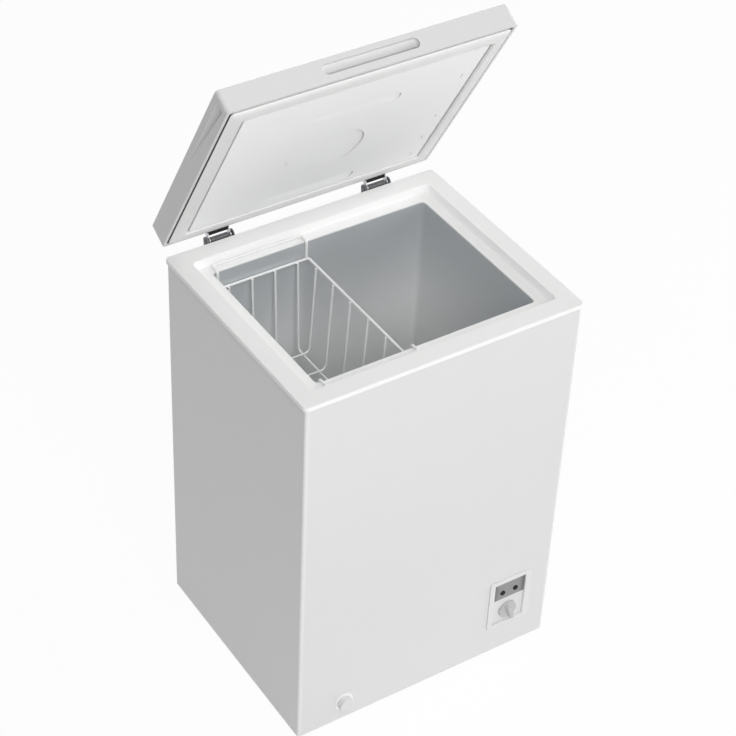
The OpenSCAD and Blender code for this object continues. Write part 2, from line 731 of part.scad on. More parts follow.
module thermostat_body() color("silver") placed() difference() {
    back_y = pan_floor_y + pan_t;
    span([panel_x - thermostat_w / 2, back_y + fit, knob_z - thermostat_h / 2],
        [panel_x + thermostat_w / 2, back_y + thermostat_depth, knob_z + thermostat_h / 2]);
    rod_y(panel_x, knob_z, back_y - cut, back_y + 13, shaft_d + 2 * running);
}

sense_x = panel_x;
sense_y = pan_floor_y + pan_t + 26;
sense_d = 2.4;
sense_hole = 4;

module thermostat_capillary() color("peru") placed()
    rod_z(sense_x, sense_y, knob_z + thermostat_h / 2, step_z - liner_t - fit, sense_d);

module wiring_loom() color("#111") placed() {
    from = [panel_x - 10, pan_floor_y + pan_t + thermostat_depth + fit, knob_z - 8];
    to = [panel_x - 10, shell_y - shell_r - cover_depth - fit, cover_mid_z];
    low_z = knob_z - loom_drop;
    wire(bent([from, from + [0, loom_lead, 0], [from[0], from[1] + loom_lead, low_z],
        [to[0], to[1] - loom_lead, low_z], to - [0, loom_lead, 0], to], 8), loom_d);
}

// ---------------------------------------------------------------- drain

module drain_spout() color("whitesmoke") placed() difference() {
    union() {
        rod_y(drain_x, outlet_z, front_y - outlet_proud, sump_mid_y, drain_d);
        rod_y(drain_x, outlet_z, front_y - outlet_flange_t, front_y, outlet_flange_d);
    }
    rod_y(drain_x, outlet_z, front_y - outlet_proud - cut, sump_mid_y + cut, outlet_bore);
    rod_z(drain_x, sump_mid_y, 0, floor_z, sump_d + fit);
}

module drain_sump() color("whitesmoke") placed() difference() {
    union() {
        rod_z(drain_x, sump_mid_y, outlet_z - sump_d / 2, floor_z, sump_d);
        rod_z(drain_x, sump_mid_y, floor_z, floor_z + 1.5, sump_d + 8);
    }
    rod_z(drain_x, sump_mid_y, outlet_z - sump_d / 2 + 3, floor_z + 3, sump_bore);
    rod_y(drain_x, outlet_z, sump_mid_y - sump_d, sump_mid_y, outlet_bore);
}

module drain_plug() color("gray") placed() translate([drain_x, sump_mid_y, floor_z + 1.5 + fit]) {
    rod_z(0, 0, -14, 0, sump_bore - 2 * fit);
    rod_z(0, 0, 0, 3, sump_bore + 7);
    span([-7, -1.5, 3], [7, 1.5, 11]);
}

module drain_cap() color("white") placed() {
    cap_y = front_y - cap_proud;
    difference() {
        rod_y(drain_x, outlet_z, cap_y, front_y - outlet_flange_t - seat_clear, cap_d);
        rod_y(drain_x, outlet_z, cap_y + 3, front_y + cut, cap_d - 2 * cap_wall);
    }
    rod_y(drain_x, outlet_z, cap_y + 2, front_y + 4, outlet_bore - 2 * fit);
}

// ---------------------------------------------------------------- lid

module lid_outer() color("white") placed() opened() difference() {
    slab(lid_w, lid_d, edge_r, lid_z, lid_z + lid_h);
    difference() {
        slab(pocket_w, pocket_d, pocket_r, lid_z - cut, lid_z + lid_h - lid_top_t);
        for (side = [-1, 1]) recess_back(side);
    }
    slot_y(handle_w, handle_h, lid_z + handle_z, -lid_d / 2 - cut, -lid_d / 2 + skirt_t + cut);
    for (side = [-1, 1]) side_recess(side);
    at_leaf_screws() rod_y(0, 0, lid_rear_y - skirt_t - cut, lid_rear_y + cut, screw_d + fit);
}

// Finger recess in the lid's side: deepest at its lower front corner, it fades out upwards and rearwards
module side_recess(side) {
    x = side * (lid_w / 2 + 1);
    polyhedron([[x, recess_y0, recess_z0], [side * (lid_w / 2 - recess_depth), recess_y0, recess_z0],
        [x, recess_y0, recess_z1], [x, recess_y1, recess_z1]],
        side > 0 ? [[0, 1, 2], [0, 3, 1], [0, 2, 3], [1, 3, 2]] : [[2, 1, 0], [1, 3, 0], [3, 2, 0], [2, 3, 1]]);
}

// Thickening of the skirt behind a side recess
module recess_back(side) span([min(side * lid_w / 2, side * (lid_w / 2 - recess_depth - recess_wall)),
    recess_y0 - recess_wall, seat_z + lid_sheet_t],
    [max(side * lid_w / 2, side * (lid_w / 2 - recess_depth - recess_wall)), recess_y1 - 65,
    recess_z1 + recess_wall]);

module handle_cup() color("whitesmoke") placed() opened() difference() {
    y0 = -lid_d / 2 + skirt_t;
    slot_y(handle_w + 2 * cup_t, handle_h + 2 * cup_t, lid_z + handle_z, y0, y0 + handle_depth + cup_t);
    slot_y(handle_w, handle_h, lid_z + handle_z, y0 - cut, y0 + handle_depth);
}

module lid_foam() color("khaki") placed() opened() difference() {
    union() {
        slab(pocket_w, pocket_d, pocket_r, seat_z, lid_z + lid_h - lid_top_t);
        slab(panel_open_w - lid_sheet_t, panel_open_d - lid_sheet_t, pocket_r, lid_panel_z, seat_z + cut);
    }
    for (side = [-1, 1]) recess_back(side);
    lid_liner_rim();
    press_shapes(lid_sheet_t, lid_panel_z - cut, lid_panel_back_z + press_depth);
    y0 = -lid_d / 2 + skirt_t;
    slot_y(handle_w + 2 * cup_t, handle_h + 2 * cup_t, lid_z + handle_z, y0 - cut, y0 + handle_depth + cup_t);
    at_leaf_screws() rod_y(0, 0, lid_rear_y - skirt_t - 8, lid_rear_y, screw_d + fit);
}

// Shapes pressed into the lid's panel, grown sideways by g
module press_shapes(g, z0, z1) translate([0, press_y, 0]) {
    for (y = [-1, 1]) translate([0, y * pill_gap, 0]) pill(pill_l + 2 * g, pill_d + 2 * g, z0, z1);
    rod_z(0, 0, z0, z1, dish_d + 2 * g);
    rod_z(dot_x, 0, z0, z1, dot_d + 2 * g);
    for (y = [-1, 0, 0.55, 1]) rod_z(side_dot_x, y * pill_gap, z0, z1, dot_d + 2 * g);
}

// The liner's rim, which steps up from the panel and lies on the gasket
module lid_liner_rim() difference() {
    union() {
        slab(panel_open_w, panel_open_d, pocket_r, lid_panel_z, seat_z + lid_sheet_t);
        slab(pocket_w, pocket_d, pocket_r, seat_z, seat_z + lid_sheet_t);
    }
    slab(panel_open_w - 2 * lid_sheet_t, panel_open_d - 2 * lid_sheet_t, pocket_r,
        lid_panel_back_z, seat_z + lid_sheet_t + cut);
}

module lid_liner() color("white") placed() opened() difference() {
    union() {
        lid_liner_rim();
        press_shapes(lid_sheet_t, lid_panel_z, lid_panel_back_z + press_depth);
    }
    press_shapes(0, lid_panel_z - cut, lid_panel_z + press_depth);
}

module lid_gasket() color("gainsboro") placed() opened() difference() {
    z0 = cabinet_h + gasket_clear;
    slab(gasket_out_w, gasket_out_d, 6, z0, seat_z);
    slab(panel_open_w, panel_open_d, pocket_r, z0 - cut, seat_z + cut);
}

// ---------------------------------------------------------------- hinges

module at_hinge(side) translate([side * hinge_x, 0, 0]) children();

module hinge_bracket(side) color("gray") placed() at_hinge(side) {
    base_y = panel_back_y;
    difference() {
        span([-hinge_w / 2, base_y, bracket_top_z - bracket_h], [hinge_w / 2, rear_y + plate_t, bracket_top_z]);
        bracket_screw_places() rod_y(0, 0, base_y - cut, rear_y + plate_t + cut, screw_d + fit);
    }
    for (x = [-hinge_w / 2, hinge_w / 2 - plate_t]) difference() {
        translate([x, 0, 0]) {
            rotate([90, 0, 90]) linear_extrude(plate_t) polygon([[rear_y, bracket_top_z - bracket_h + 8],
                [rear_y, bracket_top_z], [rear_y + collar_t + 1, bracket_top_z],
                [hinge_y - eye_r + 1, hinge_z],
                [hinge_y + eye_r - 1, hinge_z + 2], [hinge_y + eye_r - 1, hinge_z - 16],
                [rear_y + plate_t + 4, bracket_top_z - bracket_h + 8]]);
            rod_x(hinge_y, hinge_z, 0, plate_t, 2 * eye_r);
        }
        rod_x(hinge_y, hinge_z, x - cut, x + plate_t + cut, pin_d + fit);
    }
}

module bracket_screw_places() for (x = [-1, 1], z = bracket_screw_drops)
    translate([x * bracket_screw_x, 0, bracket_top_z - z]) children();

module hinge_screw_shafts(d) for (side = [-1, 1]) at_hinge(side) bracket_screw_places()
    rod_y(0, 0, rear_y - screw_reach, rear_y + plate_t, d);

module hinge_screws() color("silver") placed() {
    hinge_screw_shafts(screw_d);
    for (side = [-1, 1]) at_hinge(side) bracket_screw_places()
        rod_y(0, 0, rear_y + plate_t, rear_y + plate_t + screw_head_t, screw_head_d);
}

module hinge_pin(side) color("silver") placed() at_hinge(side) {
    rod_x(hinge_y, hinge_z, -hinge_w / 2 - fit, hinge_w / 2 + fit, pin_d);
    for (x = [-1, 1]) translate([x * (hinge_w / 2 + fit + 1), 0, 0]) rod_x(hinge_y, hinge_z, -1, 1, pin_d + 3);
}

module hinge_spring(side) color("#333") placed() at_hinge(side)
    translate([0, hinge_y, hinge_z]) rotate([0, 90, 0]) rotate_extrude($fn = small_round) {
        l = leaf_w - 2 * plate_t - 4;
        turns = 9;
        inner = pin_d / 2 + 0.4;
        polygon(concat([[inner, -l / 2]],
            [for (i = [0 : 2 * turns]) [inner + (i % 2 == 0 ? 1.2 : 2.8), -l / 2 + i * l / (2 * turns)]],
            [[inner, l / 2]]));
    }

module at_leaf_screws() for (side = [-1, 1], x = [-1, 1])
    translate([side * hinge_x + x * 15, 0, leaf_z + 20]) children();

// The leaf is screwed to the lid's rear and turns on the pin with its two arms
module hinge_leaf(side) color("silver") placed() opened() at_hinge(side) {
    difference() {
        span([-leaf_w / 2, lid_rear_y, leaf_z], [leaf_w / 2, lid_rear_y + plate_t, leaf_z + leaf_h]);
        for (x = [-1, 1]) rod_y(x * 15, leaf_z + 20, lid_rear_y - cut, lid_rear_y + plate_t + cut, screw_d + fit);
    }
    for (x = [-leaf_w / 2, leaf_w / 2 - plate_t]) difference() {
        translate([x, 0, 0]) {
            rotate([90, 0, 90]) linear_extrude(plate_t) polygon([[lid_rear_y + plate_t, leaf_z],
                [lid_rear_y + plate_t, leaf_z + 14], [hinge_y + 5, hinge_z + 3], [hinge_y - 4, hinge_z - 3]]);
            rod_x(hinge_y, hinge_z, 0, plate_t, 2 * eye_r - 4);
        }
        rod_x(hinge_y, hinge_z, x - cut, x + plate_t + cut, pin_d + 2 * running);
    }
    translate([-leaf_w / 2, 0, 0]) rotate([90, 0, 90]) linear_extrude(leaf_w)
        polygon([[lid_rear_y, leaf_z], [lid_rear_y + plate_t, leaf_z + 2], [lid_rear_y + plate_t + 7, leaf_z - 3.5],
            [lid_rear_y + plate_t + 6, leaf_z - 5.5]]);
}

module lid_screws() color("silver") placed() opened() at_leaf_screws() {
    rod_y(0, 0, lid_rear_y - skirt_t - 6, lid_rear_y + plate_t, screw_d);
    rod_y(0, 0, lid_rear_y + plate_t, lid_rear_y + plate_t + screw_head_t, screw_head_d);
}

// ---------------------------------------------------------------- basket

// One quarter of a ring of wire, from +X round to +Y
module wire_corner(r, d) rotate_extrude(angle = 90, $fn = large_round)
    translate([r, 0]) circle(d = d, $fn = small_round);

module basket_rim() color("white") placed() translate([basket_mid_x, 0, rim_z]) {
    r = 5;
    x = basket_w / 2;
    y = basket_d / 2;
    for (side = [-1, 1]) {
        rod_x(side * y, 0, -x + r, x - r, rim_d);
        rod_y(side * x, 0, -y + r, y - r, rim_d);
    }
    for (turn = [0 : 3]) translate([(turn == 0 || turn == 3 ? 1 : -1) * (x - r), (turn < 2 ? 1 : -1) * (y - r), 0])
        rotate([0, 0, 90 * turn]) wire_corner(r, rim_d);
}

// A wire that goes down one side, along the bottom and up the other; half is its half length at the rim
function u_wire(half, floor_z, lean) = let (low = half - lean)
    [[-half, rim_z], [-low, floor_z], [low, floor_z], [half, rim_z]];

module basket_cross_wires() color("white") placed() {
    first = basket_d / 2 - 33;
    count = floor((basket_d - 50) / cross_pitch) + 1;
    for (i = [0 : count - 1])
        wire(bent([for (p = u_wire(basket_w / 2 - (rim_d + wire_d) / 2, cross_floor_z, basket_lean))
            [basket_mid_x + p[0], first - i * cross_pitch, p[1]]], wire_bend), wire_d);
}

module basket_long_wires() color("white") placed() {
    count = floor((basket_w - 20) / long_pitch) + 1;
    for (i = [0 : count - 1]) {
        x = (i - (count - 1) / 2) * long_pitch;
        wire(bent([for (p = u_wire(basket_d / 2 - (rim_d + wire_d) / 2, cross_floor_z - wire_d - fit, basket_lean))
            [basket_mid_x + x, p[0], p[1]]], long_bend), wire_d);
    }
}

// A hanger stands on the rim, turns outwards over the ledge and runs along it
module basket_hangers() color("white") placed() for (side = [-1, 1]) {
    y0 = side * basket_d / 2;
    y1 = side * hanger_y;
    z0 = rim_z + rim_d / 2;
    x0 = basket_x0 + 5;
    x1 = basket_x0 + basket_w - 5;
    wire(bent([[x1, y0, z0], [x1, y0, hanger_z], [x1, y1, hanger_z],
        [x0, y1, hanger_z], [x0, y0, hanger_z], [x0, y0, z0]], hanger_bend), rim_d);
}

outer_wrapper();
rear_panel();
base_plate();
foam_insulation();
inner_liner();
top_collar();
foot(-1, -1);  // foot_front_left
foot(1, -1);  // foot_front_right
foot(-1, 1);  // foot_rear_left
foot(1, 1);  // foot_rear_right
bay_panel();
rear_grille();
grille_screws();
cord_gland();
control_bezel();
lamp_strip();
lamp(-1, "#222");  // power_lamp
lamp(1, "#222");  // run_lamp
thermostat_knob();
thermostat_body();
thermostat_capillary();
drain_spout();
drain_sump();
drain_plug();
drain_cap();
evaporator_coil();
condenser_coil();
compressor_shell();
compressor_plate();
compressor_grommets();
compressor_studs();
terminal_cover();
suction_pipe();
discharge_pipe();
process_tube();
filter_drier();
capillary_tube();
wiring_loom();
hinge_bracket(-1);  // hinge_bracket_left
hinge_bracket(1);  // hinge_bracket_right
hinge_pin(-1);  // hinge_pin_left
hinge_pin(1);  // hinge_pin_right
hinge_spring(-1);  // hinge_spring_left
hinge_spring(1);  // hinge_spring_right
hinge_leaf(-1);  // hinge_leaf_left
hinge_leaf(1);  // hinge_leaf_right
hinge_screws();
lid_screws();
lid_outer();
handle_cup();
lid_foam();
lid_liner();
lid_gasket();
basket_rim();
basket_cross_wires();
basket_long_wires();
basket_hangers();
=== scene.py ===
"""A small chest freezer with its lid open: looks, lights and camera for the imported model.

Lengths are in metres, in the model's own frame: the origin is on the floor under the middle of the
whole freezer with its lid open, +X is right, +Z is up and the front faces -Y.
"""
import json
import math

import bmesh
import bpy
from mathutils import Matrix, Vector

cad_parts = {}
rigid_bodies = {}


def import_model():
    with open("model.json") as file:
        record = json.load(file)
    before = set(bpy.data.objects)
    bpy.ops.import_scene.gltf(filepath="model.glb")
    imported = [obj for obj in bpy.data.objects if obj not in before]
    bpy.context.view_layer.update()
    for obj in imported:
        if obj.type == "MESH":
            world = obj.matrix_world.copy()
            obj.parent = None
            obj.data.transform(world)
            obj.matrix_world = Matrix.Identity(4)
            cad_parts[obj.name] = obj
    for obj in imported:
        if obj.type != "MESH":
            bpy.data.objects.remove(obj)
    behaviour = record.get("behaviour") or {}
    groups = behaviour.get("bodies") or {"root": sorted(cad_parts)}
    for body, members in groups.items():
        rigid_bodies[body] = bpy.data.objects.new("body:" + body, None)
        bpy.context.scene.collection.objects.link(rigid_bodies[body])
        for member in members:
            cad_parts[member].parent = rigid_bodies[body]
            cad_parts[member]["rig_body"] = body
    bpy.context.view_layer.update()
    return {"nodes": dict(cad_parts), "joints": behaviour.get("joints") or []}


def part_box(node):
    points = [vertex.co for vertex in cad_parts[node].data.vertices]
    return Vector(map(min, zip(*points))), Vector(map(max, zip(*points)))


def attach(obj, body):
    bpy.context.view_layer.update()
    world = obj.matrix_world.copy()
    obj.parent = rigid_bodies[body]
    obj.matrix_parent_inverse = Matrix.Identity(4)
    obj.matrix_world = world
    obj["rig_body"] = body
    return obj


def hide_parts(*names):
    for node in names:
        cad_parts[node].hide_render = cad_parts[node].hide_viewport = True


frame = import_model()
nodes = frame["nodes"]
mm = 0.001
weld_distance = 0.002 * mm
collar_low, collar_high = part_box("top_collar")
wrapper_low, wrapper_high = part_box("outer_wrapper")
cabinet_y = (collar_low.y + collar_high.y) / 2


# ---------------------------------------------------------------- modelling by operators

def deselect_all():
    if bpy.context.mode != "OBJECT":
        bpy.ops.object.mode_set(mode="OBJECT")
    bpy.ops.object.select_all(action="DESELECT")


def work_on(piece):
    deselect_all()
    piece.select_set(True)
    bpy.context.view_layer.objects.active = piece


def edit(piece):
    work_on(piece)
    bpy.ops.object.mode_set(mode="EDIT")
    bpy.ops.mesh.select_all(action="DESELECT")


def choose_all():
    bpy.ops.mesh.select_all(action="SELECT")


def apply_modifier(piece, kind, **settings):
    work_on(piece)
    modifier = piece.modifiers.new(kind, kind)
    for name, value in settings.items():
        setattr(modifier, name, value)
    bpy.ops.object.modifier_apply(modifier=modifier.name)


def apply_place(piece):
    work_on(piece)
    bpy.ops.object.transform_apply(location=True, rotation=True, scale=True)


def merge_and_face_out(piece):
    edit(piece)
    choose_all()
    bpy.ops.mesh.remove_doubles(threshold=weld_distance)
    bpy.ops.mesh.normals_make_consistent(inside=False)
    bpy.ops.object.mode_set(mode="OBJECT")


def round_edges(piece, width, steps=3, angle=30):
    apply_modifier(piece, "BEVEL", width=width * mm, segments=steps, limit_method="ANGLE",
                   angle_limit=math.radians(angle), use_clamp_overlap=True)


def shade(piece, angle=40):
    work_on(piece)
    bpy.ops.object.shade_smooth_by_angle(angle=math.radians(angle))


def flatten_shading(piece):
    """Lets the large faces keep their own direction, so that only the rounded edges shade round."""
    apply_modifier(piece, "WEIGHTED_NORMAL", keep_sharp=True, weight=100)


def dress(piece, name, body, finish, stands_for=(), angle=40):
    """Names a finished piece, shades it, gives it its finish and ties it to a body."""
    shade(piece, angle)
    piece.name = name
    piece.data.materials.clear()
    piece.data.materials.append(finish)
    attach(piece, body)
    if stands_for:
        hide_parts(*stands_for)
    return piece


def body_of_node(node):
    return nodes[node]["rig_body"]


def copy_of(node):
    """A merged copy of a node's mesh with its flat faces whole, ready to be worked on."""
    piece = bpy.data.objects.new(node + "_form", nodes[node].data.copy())
    bpy.context.scene.collection.objects.link(piece)
    flat_angle = math.radians(0.4)
    edit(piece)
    choose_all()
    bpy.ops.mesh.remove_doubles(threshold=weld_distance)
    bpy.ops.mesh.dissolve_limited(angle_limit=flat_angle)
    bpy.ops.object.mode_set(mode="OBJECT")
    return piece


def softened(node, width, finish, steps=3, angle=30):
    """The node's own shape with its sharp edges rounded, in place of the node."""
    piece = copy_of(node)
    round_edges(piece, width, steps, angle)
    dress(piece, node + "_soft", body_of_node(node), finish, [node])
    flatten_shading(piece)
    return piece


def paint(finish, *names):
    for name in names:
        node = nodes[name]
        node.data.materials.clear()
        node.data.materials.append(finish)
        shade(node, 35)


# Rings and lofts, in millimetres: every ring is a rectangle with round corners. While a loft is
# being drawn its rings stand this far apart, so that no two of them touch.

ring_spacing = 50


def add_ring(half_width, half_depth, radius, z, steps):
    bpy.ops.mesh.select_all(action="DESELECT")
    bpy.ops.mesh.primitive_plane_add(size=1, location=(0, 0, z * mm))
    bpy.ops.transform.resize(value=(2 * half_width * mm, 2 * half_depth * mm, 1),
                             center_override=(0, 0, z * mm))
    bpy.ops.mesh.bevel(offset=radius * mm, segments=steps, affect="VERTICES")
    bpy.ops.mesh.delete(type="ONLY_FACE")


def choose_rings(piece, around, *rings):
    """Selects the vertices of some rings, and the edges between them, in edit mode."""
    bpy.ops.mesh.select_all(action="DESELECT")
    shape = bmesh.from_edit_mesh(piece.data)
    shape.verts.ensure_lookup_table()
    for ring in rings:
        for vertex in shape.verts[ring * around:(ring + 1) * around]:
            vertex.select_set(True)
    shape.select_flush(True)
    bmesh.update_edit_mesh(piece.data)


def towards(here, there, length):
    """The station that lies a length away from here along the section, on the way to there."""
    share = length / math.hypot(there[0] - here[0], there[3] - here[3])
    return tuple(a + (b - a) * share for a, b in zip(here, there))


def rounded_stations(stations, closed, steps=4):
    """Rounds a profile of stations.

    Each station is (half width, half depth, corner radius, height), with the fillet to give it.
    """
    count = len(stations)
    rings = []
    for i, (here, fillet) in enumerate(stations):
        if fillet == 0 or (not closed and i in (0, count - 1)):
            rings.append(here)
            continue
        start = towards(here, stations[i - 1][0], fillet)
        end = towards(here, stations[(i + 1) % count][0], fillet)
        for k in range(steps + 1):
            t = k / steps
            rings.append(tuple((1 - t) ** 2 * a + 2 * t * (1 - t) * b + t ** 2 * c
                               for a, b, c in zip(start, here, end)))
    return rings


def loft(stations, closed=True, corner_steps=8):
    """A moulding that follows rounded rectangles from station to station, round the upright axis.

    The rings are drawn one above another, bridged, and then moved to their own heights.
    """
    piece = bpy.data.objects.new("loft", bpy.data.meshes.new("loft"))
    bpy.context.scene.collection.objects.link(piece)
    rings = rounded_stations(stations, closed)
    last = len(rings) - 1
    around = 4 * (corner_steps + 1)
    edit(piece)
    for i, (half_width, half_depth, radius, _) in enumerate(rings):
        add_ring(half_width, half_depth, radius, i * ring_spacing, corner_steps)
    for i in range(last):
        choose_rings(piece, around, i, i + 1)
        bpy.ops.mesh.bridge_edge_loops()
    if closed:
        choose_rings(piece, around, 0, last)
        bpy.ops.mesh.bridge_edge_loops()
    else:
        for ring in (0, last):
            choose_rings(piece, around, ring)
            bpy.ops.mesh.edge_face_add()
    for i, station in enumerate(rings):
        choose_rings(piece, around, i)
        bpy.ops.transform.translate(value=(0, 0, (station[3] - i * ring_spacing) * mm))
    bpy.ops.object.mode_set(mode="OBJECT")
    merge_and_face_out(piece)
    return piece


def wire(points, diameter, bend, sides=12, steps=6, closed=False):
    """A bent round wire: a disc, or a ring if it is closed, is drawn out and spun at each bend."""
    points = [Vector(p) * mm for p in points]
    bend = bend * mm
    heading = (points[1] - points[0]).normalized()
    bpy.ops.object.select_all(action="DESELECT")
    bpy.ops.mesh.primitive_circle_add(vertices=sides, radius=diameter * mm / 2,
                                      fill_type="NOTHING" if closed else "NGON",
                                      location=points[0],
                                      rotation=heading.to_track_quat("Z", "Y").to_euler())
    piece = bpy.context.active_object
    apply_place(piece)
    bpy.ops.object.mode_set(mode="EDIT")
    choose_all()
    place = points[0]
    for i in range(1, len(points)):
        here = points[i]
        last = i == len(points) - 1
        back = 0
        if not last:
            onward = (points[i + 1] - here).normalized()
            turn = heading.angle(onward)
            back = bend * math.tan(turn / 2)
        stop = here - heading * back
        straight = {"value": stop - place}
        bpy.ops.mesh.extrude_region_move(TRANSFORM_OT_translate=straight)
        place = stop
        if not last and turn > 0.001:
            axis = heading.cross(onward).normalized()
            centre = stop + axis.cross(heading) * bend
            bpy.ops.mesh.spin(steps=steps, angle=-turn, center=centre, axis=axis)
            place = here + onward * back
            heading = onward
    bpy.ops.object.mode_set(mode="OBJECT")
    merge_and_face_out(piece)
    return piece


def join(pieces):
    deselect_all()
    for piece in pieces:
        piece.select_set(True)
    bpy.context.view_layer.objects.active = pieces[0]
    bpy.ops.object.join()
    return pieces[0]


def put(piece, place):
    """Moves a finished shape by a matrix and leaves its object at the origin."""
    piece.matrix_world = place
    apply_place(piece)
    return piece


def copy_to(piece, places):
    """One piece made of copies of a shape, at the given offsets in millimetres."""
    copies = []
    for place in places:
        copy = bpy.data.objects.new(piece.name, piece.data.copy())
        bpy.context.scene.collection.objects.link(copy)
        copies.append(put(copy, Matrix.Translation(Vector(place) * mm)))
    bpy.data.objects.remove(piece)
    return join(copies)


def open_lid(piece):
    """Turns a piece modelled on the shut lid to where the lid stands."""
    hinge = next(joint for joint in frame["joints"] if joint["name"] == "lid_hinge")
    pivot = Vector(hinge["pos_m"])
    shut = math.radians(hinge["range_deg"][0])
    turn = Matrix.Rotation(-shut, 4, Vector(hinge["axis"]))
    return put(piece, Matrix.Translation(pivot) @ turn @ Matrix.Translation(-pivot))


# ---------------------------------------------------------------- finishes

class Field:
    """A value that varies over a surface. Sums, products and powers of fields add Math nodes."""

    def __init__(self, finish, socket):
        self.finish = finish
        self.socket = socket

    def _math(self, operation, first, second=None):
        return self.finish.node("ShaderNodeMath", {"operation": operation}, {0: first, 1: second})

    def __add__(self, other):
        return self._math("ADD", self, other)

    def __sub__(self, other):
        return self._math("SUBTRACT", self, other)

    def __rsub__(self, other):
        return self._math("SUBTRACT", other, self)

    def __mul__(self, other):
        return self._math("MULTIPLY", self, other)

    def __pow__(self, other):
        return self._math("POWER", self, other)

    __radd__ = __add__
    __rmul__ = __mul__


class Finish:
    """A material built node by node round one Principled shader."""

    def __init__(self, name, **constants):
        self.material = bpy.data.materials.new(name)
        self.material.use_nodes = True
        self.tree = self.material.node_tree
        self.shader = self.tree.nodes["Principled BSDF"]
        for socket, value in constants.items():
            self.shader.inputs[socket.replace("_", " ")].default_value = value
        self.place = self.node("ShaderNodeTexCoord", output="Object")

    def node(self, kind, settings=None, sockets=None, output=0):
        node = self.tree.nodes.new(kind)
        for name, value in (settings or {}).items():
            if name == "stops":
                for element, (position, colour) in zip(node.color_ramp.elements, value):
                    element.position = position
                    element.color = colour
            else:
                setattr(node, name, value)
        for name, value in (sockets or {}).items():
            if value is not None:
                self.feed(node.inputs[name], value)
        return Field(self, node.outputs[output])

    def feed(self, socket, value):
        if isinstance(value, Field):
            self.tree.links.new(value.socket, socket)
        else:
            socket.default_value = value

    def noise(self, scale, detail=2, stretch=(1, 1, 1)):
        """Noise from 0 to 1 whose grains are about 1/scale metres across."""
        place = self.place
        if stretch != (1, 1, 1):
            place = self.node("ShaderNodeMapping", sockets={"Vector": place, "Scale": stretch})
        return self.node("ShaderNodeTexNoise", sockets={"Vector": place, "Scale": scale,
                                                        "Detail": detail, "Roughness": 0.5})

    def along(self, axis):
        """The place in metres along x, y or z."""
        return self.node("ShaderNodeSeparateXYZ", sockets={0: self.place},
                         output="xyz".index(axis))

    def ramp(self, value, start, end):
        """A smooth share: 0 where a value is at its start, 1 at its end, which may be lower."""
        return self.node("ShaderNodeMapRange", {"interpolation_type": "SMOOTHSTEP"},
                         {0: value, 1: start, 2: end, 3: 0.0, 4: 1.0})

    def blend(self, amount, low, high):
        return self.node("ShaderNodeMix", {"data_type": "RGBA"}, {0: amount, 6: low, 7: high},
                         output=2)

    def colour(self, value):
        self.feed(self.shader.inputs["Base Color"], value)
        return self

    def roughness(self, value):
        self.feed(self.shader.inputs["Roughness"], value)
        return self

    def bump(self, height, distance):
        bumped = self.node("ShaderNodeBump", sockets={"Height": height, "Distance": distance * mm,
                                                      "Strength": 1.0})
        self.feed(self.shader.inputs["Normal"], bumped)
        return self


def rgb(red, green, blue):
    return (red, green, blue, 1.0)


def grey(value):
    return rgb(value, value, value)


def two_tone(finish, amount, colour, depth):
    """Lets a colour drift by a small share of itself, as real coats and sheets do."""
    low = rgb(*[c * (1 - depth) for c in colour])
    high = rgb(*[min(1.0, c * (1 + depth)) for c in colour])
    return finish.colour(finish.blend(amount, low, high))


def make_enamel():
    """White enamel with a painted highlight: a little paler along the two upright bends at the
    front.
    """
    finish = Finish("white_enamel", Coat_Weight=0.25, Coat_Roughness=0.08, IOR=1.5)
    half_x, front_y = wrapper_high.x, wrapper_low.y
    side_start, side_end = half_x - 7 * mm, half_x - 5.5 * mm
    front_start, front_end = front_y + 4.5 * mm, front_y + 2 * mm
    # Painted highlight: the colour goes paler where the sheet rounds the two front uprights.
    bend = (finish.ramp(finish.along("x") ** 2, side_start ** 2, side_end ** 2)
            * finish.ramp(finish.along("y"), front_start, front_end))
    drift = finish.noise(3, 3)
    sheet = finish.blend(drift, grey(0.70), grey(0.72))
    finish.colour(finish.blend(bend, sheet, grey(0.80)))
    finish.roughness(0.30 + 0.08 * finish.noise(40, 3))
    finish.bump(finish.noise(520, 2) + 0.4 * finish.noise(60, 2), 0.018)
    return finish.material


def make_moulding(name, colour, rough, grain):
    finish = Finish(name, IOR=1.47)
    two_tone(finish, finish.noise(6, 4), colour, 0.012)
    finish.roughness(rough + 0.08 * finish.noise(90, 3))
    finish.bump(finish.noise(1500, 2) + 0.5 * finish.noise(25, 2), grain)
    return finish.material


def make_liner_sheet():
    """Rolled aluminium, bluish and more metallic near the mouth; paler low down, which is painted
    light that lifts the deep walls, with less metal and more roughness there.
    """
    finish = Finish("liner_sheet", IOR=1.5)
    fill_top_z, fill_full_z = 0.775, 0.50
    rolled = finish.noise(30, 4, stretch=(1, 1, 14))
    # Painted light: the sheet's colour grows paler from the mouth down to the deep walls.
    painted_low_fill = finish.ramp(finish.along("z"), fill_top_z, fill_full_z)
    near_mouth = finish.blend(rolled, rgb(0.585, 0.61, 0.625), rgb(0.615, 0.64, 0.655))
    low_down = finish.blend(rolled, rgb(0.80, 0.805, 0.805), rgb(0.84, 0.845, 0.845))
    finish.colour(finish.blend(painted_low_fill, near_mouth, low_down))
    finish.feed(finish.shader.inputs["Metallic"], 0.35 - 0.25 * painted_low_fill)
    finish.roughness(0.30 + 0.08 * rolled + 0.15 * painted_low_fill)
    finish.bump(finish.noise(12, 3) + 0.06 * finish.noise(900, 2), 0.25)
    return finish.material


